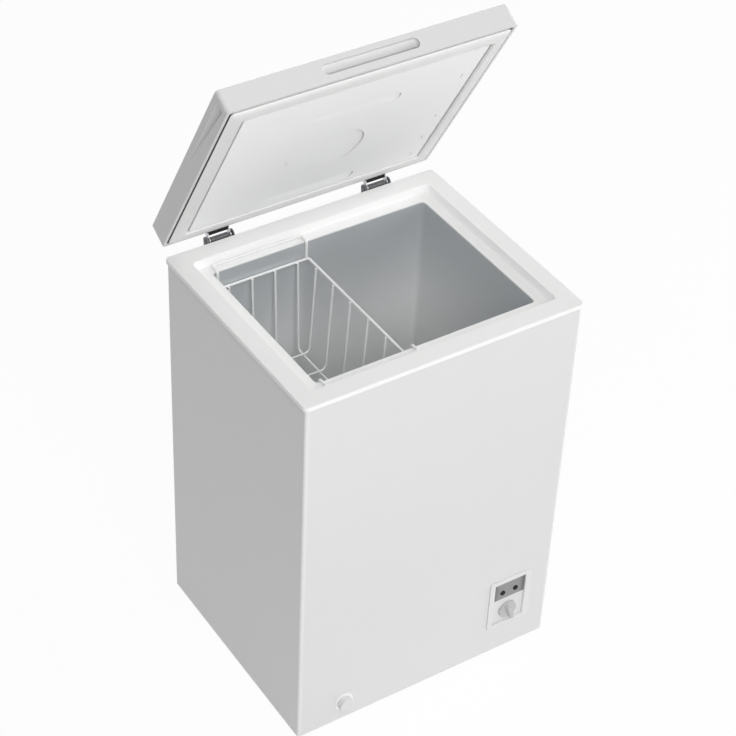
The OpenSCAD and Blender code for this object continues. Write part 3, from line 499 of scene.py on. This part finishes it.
def make_strip_print_and_shade(lamps, half_width):
    """Grey print on the lamp strip with a pale ring round each lamp; darker towards its ends, which
    is painted shade.
    """
    finish = Finish("strip_print_and_shade", IOR=1.5)
    ring_outside, ring_inside = 7.5 * mm, 5.5 * mm
    plain_half_width = 0.55 * half_width
    middle = (lamps[0] + lamps[1]) / 2
    # Painted shade: the grey darkens towards both ends of the strip.
    ends = finish.ramp((finish.along("x") - middle.x) ** 2, plain_half_width ** 2, half_width ** 2)
    colour = finish.blend(ends, rgb(0.27, 0.27, 0.275), rgb(0.13, 0.13, 0.135))
    for lamp in lamps:
        away = (finish.along("x") - lamp.x) ** 2 + (finish.along("z") - lamp.z) ** 2
        near = finish.ramp(away, ring_outside ** 2, ring_inside ** 2)
        colour = finish.blend(near, colour, rgb(0.42, 0.42, 0.425))
    finish.colour(colour)
    finish.roughness(0.36 + 0.12 * finish.noise(140, 3))
    finish.bump(finish.noise(900, 3), 0.02)
    return finish.material


def make_gasket():
    finish = Finish("gasket_vinyl", IOR=1.5, Sheen_Weight=0.05)
    two_tone(finish, finish.noise(25, 3), (0.79, 0.79, 0.785), 0.02)
    finish.roughness(0.42 + 0.12 * finish.noise(140, 3))
    finish.bump(finish.noise(900, 3), 0.03)
    return finish.material


def make_zinc(name, colour, rough):
    finish = Finish(name, Metallic=1.0)
    spangle = finish.node("ShaderNodeTexVoronoi", sockets={"Vector": finish.place, "Scale": 260},
                          output="Distance")
    two_tone(finish, spangle, colour, 0.10)
    finish.roughness(rough + 0.16 * finish.noise(300, 3))
    finish.bump(finish.noise(900, 3), 0.015)
    return finish.material


def make_drawn_tube(name, colour, rough):
    finish = Finish(name, Metallic=1.0)
    two_tone(finish, finish.noise(120, 4), colour, 0.12)
    finish.roughness(rough + 0.18 * finish.noise(200, 4))
    finish.bump(finish.noise(1200, 2), 0.012)
    return finish.material


def make_dark(name, colour, rough, grain, gloss=0.5):
    finish = Finish(name, Specular_IOR_Level=gloss)
    two_tone(finish, finish.noise(50, 4), colour, 0.15)
    finish.roughness(rough + 0.12 * finish.noise(160, 3))
    finish.bump(finish.noise(700, 3), grain)
    return finish.material


def make_foam():
    finish = Finish("rigid_foam")
    cells = finish.node("ShaderNodeTexVoronoi", sockets={"Vector": finish.place, "Scale": 700},
                        output="Distance")
    two_tone(finish, cells, (0.74, 0.62, 0.38), 0.10)
    finish.roughness(0.85 - 0.1 * cells)
    finish.bump(cells, 0.3)
    return finish.material


enamel = make_enamel()
rear_paint = make_moulding("rear_paint", (0.70, 0.71, 0.71), 0.38, 0.02)
collar_plastic = make_moulding("collar_plastic", (0.90, 0.90, 0.895), 0.26, 0.012)
lid_plastic = make_moulding("lid_plastic", (0.71, 0.71, 0.71), 0.36, 0.02)
# The panel's white is paler than the lid's: painted light that stands in for light from the front
# and below.
lit_panel_plastic = make_moulding("lit_panel_plastic", (0.93, 0.93, 0.93), 0.60, 0.015)
# Mid-grey painted shade for the steep walls pressed into the lid's panel.
pressed_wall_shade = make_moulding("pressed_wall_shade", (0.50, 0.50, 0.50), 0.55, 0.02)
bezel_plastic = make_moulding("bezel_plastic", (0.74, 0.74, 0.74), 0.30, 0.012)
knob_plastic = make_moulding("knob_plastic", (0.52, 0.52, 0.52), 0.30, 0.015)
grey_plastic = make_moulding("grey_plastic", (0.26, 0.27, 0.28), 0.45, 0.03)
lamp_middles = [sum(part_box(name), Vector()) / 2 for name in ("power_lamp", "run_lamp")]
strip_half_width = (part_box("lamp_strip")[1].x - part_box("lamp_strip")[0].x) / 2
strip_print_and_shade = make_strip_print_and_shade(lamp_middles, strip_half_width)
wire_coat = make_moulding("wire_coat", (0.86, 0.86, 0.86), 0.28, 0.02)
liner_sheet = make_liner_sheet()
gasket_vinyl = make_gasket()
zinc = make_zinc("bright_zinc", (0.52, 0.53, 0.55), 0.30)
sheet_zinc = make_zinc("sheet_zinc", (0.60, 0.61, 0.63), 0.36)
dull_zinc = make_zinc("dull_zinc", (0.22, 0.22, 0.23), 0.62)
copper = make_drawn_tube("drawn_copper", (0.72, 0.35, 0.21), 0.28)
bare_tube = make_drawn_tube("bare_tube", (0.78, 0.78, 0.79), 0.32)
rubber = make_dark("foot_rubber", (0.03, 0.03, 0.03), 0.62, 0.06)
shell_paint = make_dark("shell_paint", (0.012, 0.012, 0.013), 0.22, 0.02)
black_plastic = make_dark("black_plastic", (0.02, 0.02, 0.02), 0.45, 0.03)
smoked_lens = make_dark("smoked_lens", (0.012, 0.012, 0.013), 0.2, 0.004, gloss=0.12)
# Near-black steel for the hinge leaves' webs: painted shadow in the slot behind the lid.
slot_shadow_steel = make_dark("slot_shadow_steel", (0.018, 0.018, 0.018), 0.5, 0.02, gloss=0.2)
# Near-black vinyl for the seal's foot: painted shadow in the grooves beside the seal.
groove_shadow_vinyl = make_dark("groove_shadow_vinyl", (0.09, 0.09, 0.092), 0.6, 0.03, gloss=0.3)
foam = make_foam()


# ---------------------------------------------------------------- cabinet

softened("outer_wrapper", 0.45, enamel, steps=2, angle=40)
softened("rear_panel", 0.3, rear_paint, steps=2, angle=40)
softened("rear_grille", 0.5, grey_plastic, steps=2, angle=40)
softened("inner_liner", 0.4, liner_sheet, steps=2, angle=40)
for side in ("front_left", "front_right", "rear_left", "rear_right"):
    softened("foot_" + side, 1.5, rubber)
paint(sheet_zinc, "base_plate", "bay_panel")
paint(foam, "foam_insulation", "lid_foam")
paint(zinc, "grille_screws", "hinge_screws", "lid_screws", "compressor_studs")
paint(black_plastic, "cord_gland", "terminal_cover", "wiring_loom")
paint(bare_tube, "evaporator_coil")
paint(copper, "condenser_coil", "suction_pipe", "discharge_pipe", "process_tube", "filter_drier",
      "capillary_tube", "thermostat_capillary")
paint(shell_paint, "compressor_shell", "compressor_plate")
paint(rubber, "compressor_grommets")
paint(sheet_zinc, "thermostat_body")
paint(bezel_plastic, "drain_sump")


def make_collar():
    """The white moulding round the mouth: lip, flat top, sloped step and ledge."""
    out_x, out_y = collar_high.x / mm, (collar_high.y - cabinet_y) / mm
    top, bottom = collar_high.z / mm, collar_low.z / mm
    mouth_x, mouth_y = out_x - 59, out_y - 62.5
    lip_z, ledge_z = top - 8, top - 14
    thick = 3
    step_top, step_foot = 25, 20
    stations = [
        ((out_x, out_y, 9, lip_z), 0.8),
        ((out_x, out_y, 9, top), 2.2),
        ((mouth_x + step_top, mouth_y + step_top, 9, top), 1.1),
        ((mouth_x + step_foot, mouth_y + step_foot, 6, ledge_z), 1.1),
        ((mouth_x, mouth_y, 8, ledge_z), 1.0),
        ((mouth_x, mouth_y, 8, bottom), 0),
        ((mouth_x + step_foot + 1, mouth_y + step_foot + 1, 10, bottom), 0),
        ((mouth_x + step_top + thick, mouth_y + step_top + thick, 10, top - thick), 0),
        ((out_x - thick, out_y - thick, 6, top - thick), 0),
        ((out_x - thick, out_y - thick, 6, lip_z), 0.5),
    ]
    piece = put(loft(stations), Matrix.Translation((0, cabinet_y, 0)))
    dress(piece, "collar_moulding", "cabinet", collar_plastic, ["top_collar"])
    flatten_shading(piece)


make_collar()


# ---------------------------------------------------------------- lid

# Heights on the shut lid, in millimetres: the panel's face, the top of the seal's cushion and the
# seat that the seal's foot is held against
panel_face_z = 803
cushion_top_z = 808.4
seal_seat_z = 810.6

softened("lid_outer", 1.6, lid_plastic, steps=4)


def make_lid_panel():
    """The lid's inner panel: a raised tray with shapes pressed into it.

    Each shape's depths are the depth at its middle and what is added at its right and front ends.
    """
    half_x, half_y, corner = 235, 190.75, 4
    rim_x, rim_y = 270.25, 226
    sheet, back_up, face_edge = 2, 6.5, 6
    tray = loft([
        ((half_x - sheet, half_y - sheet, corner, panel_face_z + back_up), 0),
        ((half_x - sheet, half_y - sheet, corner, seal_seat_z + sheet), 0),
        ((rim_x, rim_y, corner, seal_seat_z + sheet), 0),
        ((rim_x, rim_y, corner, seal_seat_z), 0),
        ((half_x, half_y, corner, seal_seat_z), 0),
        ((half_x, half_y, corner, panel_face_z), 1.0),
        ((half_x - face_edge, half_y - face_edge, corner, panel_face_z), 0),
    ], closed=False)
    press_y, pill_gap = 32, 136
    pill_half_x, pill_half_y, pill_depths = 90, 13, (1.3, 0.9, 1.8)
    dish_r, dish_depths = 62, (1.3, 1.0, 1.8)
    dot_r, left_dot_x, right_dot_x = 6, -94, 209
    left_dot_depths, right_dot_depths = (0.7, 0.5, 0.8), (0.8, 0.6, 0.9)
    tools = [pressing(0, press_y + side * pill_gap, pill_half_x, pill_half_y, *pill_depths)
             for side in (-1, 1)]
    tools.append(pressing(0, press_y, dish_r, dish_r, *dish_depths))
    tools.append(pressing(left_dot_x, press_y, dot_r, dot_r, *left_dot_depths))
    tools += [pressing(right_dot_x, press_y + share * pill_gap, dot_r, dot_r, *right_dot_depths)
              for share in (-1, 0, 0.55, 1)]
    tool = join(tools)
    apply_modifier(tray, "BOOLEAN", operation="DIFFERENCE", object=tool, solver="EXACT")
    bpy.data.objects.remove(tool)
    round_edges(tray, 0.45, 3, 50)
    steep, edge_margin = 0.8, 5
    walls = [face.index for face in tray.data.polygons
             if abs(face.normal.z) < steep
             and abs(face.center.x) < (half_x - edge_margin) * mm
             and abs(face.center.y) < (half_y - edge_margin) * mm]
    piece = open_lid(put(tray, Matrix.Translation((0, cabinet_y, 0))))
    dress(piece, "lid_panel", "lid", lit_panel_plastic, ["lid_liner"])
    # The steep walls of the pressed shapes take a mid-grey: painted shade in the pressed hollows.
    piece.data.materials.append(pressed_wall_shade)
    for index in walls:
        piece.data.polygons[index].material_index = 1
    flatten_shading(piece)


def pressing(x, y, half_width, half_depth, deep, to_right, to_front):
    """A tool for one pressed shape.

    Its flat end leans, so that the shape runs out on the left and at the rear.
    """
    corner, length = min(half_width, half_depth) - 0.05, 12
    tool = loft([((half_width, half_depth, corner, -length), 0),
                 ((half_width, half_depth, corner, 0), 0)], closed=False)
    lean = (Matrix.Rotation(-math.atan2(to_right, half_width), 4, "Y")
            @ Matrix.Rotation(-math.atan2(to_front, half_depth), 4, "X"))
    return put(tool, Matrix.Translation(Vector((x, y, panel_face_z + deep)) * mm) @ lean)


make_lid_panel()


def make_gasket_ring():
    """A soft magnetic seal: a cushion on a narrower neck, rounded outside, lower by the panel."""
    under = 800.4
    out_x, out_y = 267.2, 222.95
    in_x, in_y = 239.6, 194.4
    stations = [
        ((out_x - 3.5, out_y - 0.8, 5, cushion_top_z), 0),
        ((out_x - 3, out_y - 0.4, 5, under + 5.6), 0.5),
        ((out_x, out_y, 7, under + 5.0), 0.4),
        ((out_x - 2.5, out_y - 2.5, 6, under + 2.8), 1.5),
        ((out_x - 8.5, out_y - 8.5, 5, under + 1.1), 3.0),
        ((in_x + 8, in_y + 8, 5, under + 0.3), 3.0),
        ((in_x + 2.5, in_y + 2.5, 4, under + 0.4), 0.8),
        ((in_x, in_y, 3, under + 3.2), 0.8),
        ((in_x, in_y, 3, cushion_top_z), 0),
    ]
    piece = open_lid(put(loft(stations), Matrix.Translation((0, cabinet_y, 0))))
    dress(piece, "gasket_ring", "lid", gasket_vinyl, ["lid_gasket"])


def make_gasket_foot():
    """The strip that holds the seal in its channel, near-black as painted shadow in the grooves
    beside the seal, where alone it shows.
    """
    out_x, out_y = 269.9, 225.65
    in_x, in_y = 235.2, 190.95
    corner = 4
    stations = [
        ((out_x, out_y, corner, seal_seat_z), 0),
        ((out_x, out_y, corner, cushion_top_z), 0.4),
        ((in_x, in_y, corner, cushion_top_z), 0.4),
        ((in_x, in_y, corner, seal_seat_z), 0),
    ]
    piece = open_lid(put(loft(stations), Matrix.Translation((0, cabinet_y, 0))))
    dress(piece, "gasket_foot", "lid", groove_shadow_vinyl, ["lid_gasket"])


make_gasket_foot()
make_gasket_ring()


def slide_below(piece, depth, shift):
    """Slides all that lies deeper than a given depth along y, so that one wall slopes."""
    edit(piece)
    shape = bmesh.from_edit_mesh(piece.data)
    for vertex in shape.verts:
        vertex.select_set(vertex.co.z < -depth * mm)
    shape.select_flush(True)
    bmesh.update_edit_mesh(piece.data)
    bpy.ops.transform.translate(value=(0, shift * mm, 0))
    bpy.ops.object.mode_set(mode="OBJECT")


def make_handle_cup():
    """The scoop behind the lid's handle.

    Its upper wall slopes down to a deep line behind the lower lip.
    """
    wide, high, deep, wall = 92, 9.75, 19, 1.5
    step_z, step_high, low = 7.5, 3.6, 1.7
    stations = [
        ((wide - 2, low - 1.4, low - 1.45, -deep), 0),
        ((wide - 1.5, low, low - 0.05, -deep + 2), 1),
        ((wide - 1, step_high, step_high - 0.05, -step_z), 1.2),
        ((wide, high, high - 0.05, 0), 0),
        ((wide + wall, high + wall, high + wall - 0.05, 0), 0),
        ((wide + wall - 1, step_high + wall, step_high + wall - 0.05, -step_z - 0.5), 0),
        ((wide + wall - 1.5, low + wall, low + wall - 0.05, -deep + 1.5), 0),
        ((wide - 2, low - 0.8, low - 0.85, -deep - wall), 0),
    ]
    lid_half_depth, mouth_z = 0.226, 0.82825
    mouth = Vector((0, cabinet_y - lid_half_depth, mouth_z))
    straight, below_step = 2, step_z + 3
    scoop = loft(stations, closed=False)
    slide_below(scoop, straight, step_high - high + 0.3)
    slide_below(scoop, below_step, low - step_high)
    piece = put(scoop, Matrix.Translation(mouth) @ Matrix.Rotation(math.pi / 2, 4, "X"))
    dress(open_lid(piece), "handle_scoop", "lid", lid_plastic, ["handle_cup"])


make_handle_cup()


# ---------------------------------------------------------------- hinges

def paint_web_shadow(leaf, finish):
    """Gives the web between a leaf's two arms a near-black coat: painted shadow for the dark slot
    between the lid and the pin.
    """
    arm = 2.6 * mm
    corners = [Vector(corner) for corner in leaf.bound_box]
    middle_x = sum(corner.x for corner in corners) / len(corners)
    inside = max(corner.x for corner in corners) - middle_x - arm
    leaf.data.materials.append(finish)
    for face in leaf.data.polygons:
        if abs(face.center.x - middle_x) < inside:
            face.material_index = 1


for side in ("left", "right"):
    softened("hinge_bracket_" + side, 0.5, dull_zinc)
    leaf = softened("hinge_leaf_" + side, 0.4, sheet_zinc)
    paint_web_shadow(leaf, slot_shadow_steel)
    softened("hinge_pin_" + side, 0.4, dull_zinc)
    softened("hinge_spring_" + side, 0.3, dull_zinc, steps=2)


# ---------------------------------------------------------------- basket

def make_basket():
    """White coated wires: a rim, two hangers, and wires bent into a U both ways."""
    thick, thin = 5, 4
    hook_in, cross_count, cross_pitch, cross_margin = 5, 6, 56.5, 33
    long_count, long_pitch = 4, 46.6
    low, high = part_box("basket_rim")
    x0, x1 = low.x / mm + thick / 2, high.x / mm - thick / 2
    y0, y1 = low.y / mm + thick / 2, high.y / mm - thick / 2
    rim_z = (low.z + high.z) / 2 / mm
    middle_x, middle_y = (x0 + x1) / 2, (y0 + y1) / 2
    join_gap, lean = (thick + thin) / 2, 9
    floor_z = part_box("basket_cross_wires")[0].z / mm + thin / 2
    under_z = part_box("basket_long_wires")[0].z / mm + thin / 2
    hook_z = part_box("basket_hangers")[1].z / mm - thick / 2
    hook_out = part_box("basket_hangers")[1].y / mm - thick / 2 - middle_y

    rim = wire([(middle_x, y0, rim_z), (x1, y0, rim_z), (x1, y1, rim_z), (x0, y1, rim_z),
                (x0, y0, rim_z), (middle_x, y0, rim_z)], thick, 5, sides=16, closed=True)
    dress(rim, "rim_wire", "basket", wire_coat, ["basket_rim"])

    half = (x1 - x0) / 2 - join_gap
    left, right = middle_x - half, middle_x + half
    across = wire([(left, middle_y, rim_z), (left + lean, middle_y, floor_z),
                   (right - lean, middle_y, floor_z), (right, middle_y, rim_z)], thin, 12)
    first = (y1 - y0) / 2 - cross_margin
    across = copy_to(across, [(0, first - cross_pitch * i, 0) for i in range(cross_count)])
    dress(across, "cross_wires", "basket", wire_coat, ["basket_cross_wires"])

    half = (y1 - y0) / 2 - join_gap
    front, rear = middle_y - half, middle_y + half
    along = wire([(middle_x, front, rim_z), (middle_x, front + lean, under_z),
                  (middle_x, rear - lean, under_z), (middle_x, rear, rim_z)], thin, 8)
    middle = (long_count - 1) / 2
    along = copy_to(along, [(long_pitch * (i - middle), 0, 0) for i in range(long_count)])
    dress(along, "long_wires", "basket", wire_coat, ["basket_long_wires"])

    hooks = []
    for side, y in ((-1, y0), (1, y1)):
        out = middle_y + side * hook_out
        left, right, foot_z = x0 + hook_in, x1 - hook_in, rim_z + thick / 2
        hooks.append(wire([(right, y, foot_z), (right, y, hook_z), (right, out, hook_z),
                           (left, out, hook_z), (left, y, hook_z), (left, y, foot_z)], thick, 5))
    dress(join(hooks), "hanger_wires", "basket", wire_coat, ["basket_hangers"])


make_basket()


# ---------------------------------------------------------------- controls and drain

def make_knob():
    """The thermostat knob: a low disc, a tapered grip bar across it and a stem behind it."""
    low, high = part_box("thermostat_knob")
    middle = Vector(((low.x + high.x) / 2, low.y, (low.z + high.z) / 2))
    proud, disc_t, disc_r, bar_half, turn = 15.6, 5, 19, 18, -20
    disc = loft([((disc_r, disc_r, disc_r - 0.05, 0), 0),
                 ((disc_r, disc_r, disc_r - 0.05, disc_t), 1.2),
                 ((6, 6, 5.95, disc_t + 0.3), 0)], closed=False)
    bar = loft([((bar_half, 5.6, 5.5, disc_t - 1), 0), ((bar_half - 1.2, 3.6, 3.5, proud), 1.6),
                ((bar_half - 5, 0.6, 0.5, proud), 0)], closed=False)
    put(bar, Matrix.Rotation(math.pi / 2, 4, "Z"))
    stem = loft([((3, 3, 2.95, -14), 0), ((3, 3, 2.95, 1), 0)], closed=False)
    back = middle + Vector((0, proud * mm, 0))
    place = (Matrix.Translation(back) @ Matrix.Rotation(math.radians(turn), 4, "Y")
             @ Matrix.Rotation(math.pi / 2, 4, "X"))
    piece = put(join([disc, bar, stem]), place)
    dress(piece, "knob_grip", "thermostat_knob", knob_plastic,
          ["thermostat_knob"])
    flatten_shading(piece)


make_knob()
softened("control_bezel", 1.2, bezel_plastic)
softened("lamp_strip", 0.3, strip_print_and_shade)
softened("power_lamp", 0.5, smoked_lens)
softened("run_lamp", 0.5, smoked_lens)
softened("drain_cap", 1.5, lid_plastic, steps=4)
softened("drain_spout", 0.5, collar_plastic)
softened("drain_plug", 0.8, grey_plastic)


# ---------------------------------------------------------------- camera, lights and floor

def make_camera():
    """A long lens from the front left, looking down into the cavity."""
    azimuth, elevation, roll = math.radians(-33.20), math.radians(40.12), math.radians(2.04)
    place = (-1.6487, cabinet_y - 2.4087, 2.9883)
    back = Vector((math.sin(azimuth) * math.cos(elevation),
                   -math.cos(azimuth) * math.cos(elevation), math.sin(elevation)))
    right = (-back).cross(Vector((0, 0, 1))).normalized()
    up = right.cross(-back)
    side = math.cos(roll) * right + math.sin(roll) * up
    head = -math.sin(roll) * right + math.cos(roll) * up
    data = bpy.data.cameras.new("studio_camera")
    data.sensor_width = 36
    data.lens = 103.9
    data.shift_x = 0.0469
    data.shift_y = 0.0435
    camera = bpy.data.objects.new("studio_camera", data)
    bpy.context.scene.collection.objects.link(camera)
    turn = Matrix((side, head, back)).transposed()
    camera.matrix_world = Matrix.Translation(place) @ turn.to_4x4()
    bpy.context.scene.camera = camera


def add_lamp(name, place, size, power):
    """A square lamp that faces the middle of the freezer."""
    middle = Vector((0, 0, 0.6))
    data = bpy.data.lights.new(name, "AREA")
    data.shape = "SQUARE"
    data.size = size
    data.energy = power
    lamp = bpy.data.objects.new(name, data)
    bpy.context.scene.collection.objects.link(lamp)
    lamp.location = place
    aim = middle - Vector(place)
    lamp.rotation_euler = aim.to_track_quat("-Z", "Y").to_euler()


def show_white(tree, lit, white):
    """Camera, glossy and transmission rays meet the white shader, and the rest the lit one."""
    rays = tree.nodes.new("ShaderNodeLightPath")
    first = tree.nodes.new("ShaderNodeMath")
    second = tree.nodes.new("ShaderNodeMath")
    for node in (first, second):
        node.operation = "MAXIMUM"
    tree.links.new(rays.outputs["Is Camera Ray"], first.inputs[0])
    tree.links.new(rays.outputs["Is Glossy Ray"], first.inputs[1])
    tree.links.new(first.outputs[0], second.inputs[0])
    tree.links.new(rays.outputs["Is Transmission Ray"], second.inputs[1])
    mix = tree.nodes.new("ShaderNodeMixShader")
    tree.links.new(second.outputs[0], mix.inputs[0])
    tree.links.new(lit, mix.inputs[1])
    tree.links.new(white, mix.inputs[2])
    return mix.outputs[0]


def make_surroundings():
    world = bpy.data.worlds.new("studio")
    bpy.context.scene.world = world
    world.use_nodes = True
    tree = world.node_tree
    lit = tree.nodes["Background"]
    lit.inputs["Color"].default_value = (1, 1, 1, 1)
    lit.inputs["Strength"].default_value = 0.30
    white = tree.nodes.new("ShaderNodeBackground")
    white.inputs["Color"].default_value = (1, 1, 1, 1)
    white.inputs["Strength"].default_value = 1.0
    tree.links.new(show_white(tree, lit.outputs[0], white.outputs[0]),
                   tree.nodes["World Output"].inputs["Surface"])

    deselect_all()
    bpy.ops.mesh.primitive_plane_add(size=14, location=(0, 0, 0))
    floor = bpy.context.active_object
    floor.name = "studio_floor"
    material = bpy.data.materials.new("studio_floor")
    material.use_nodes = True
    tree = material.node_tree
    cloth = tree.nodes["Principled BSDF"]
    cloth.inputs["Base Color"].default_value = (0.92, 0.92, 0.92, 1)
    cloth.inputs["Roughness"].default_value = 0.9
    white = tree.nodes.new("ShaderNodeEmission")
    white.inputs["Strength"].default_value = 1.0
    bright = tree.nodes.new("ShaderNodeMixShader")
    bright.inputs[0].default_value = 0.95
    tree.links.new(cloth.outputs[0], bright.inputs[1])
    tree.links.new(white.outputs[0], bright.inputs[2])
    tree.links.new(show_white(tree, cloth.outputs[0], bright.outputs[0]),
                   tree.nodes["Material Output"].inputs["Surface"])
    floor.data.materials.append(material)


make_camera()
make_surroundings()
add_lamp("key_lamp", (-0.9, -2.8, 3.6), 2.2, 86)
add_lamp("front_lamp", (0.8, -8, 0.5), 3, 150)
add_lamp("side_lamp", (3.6, -0.8, 2.2), 2.5, 60)
bpy.context.scene.view_settings.view_transform = "Standard"
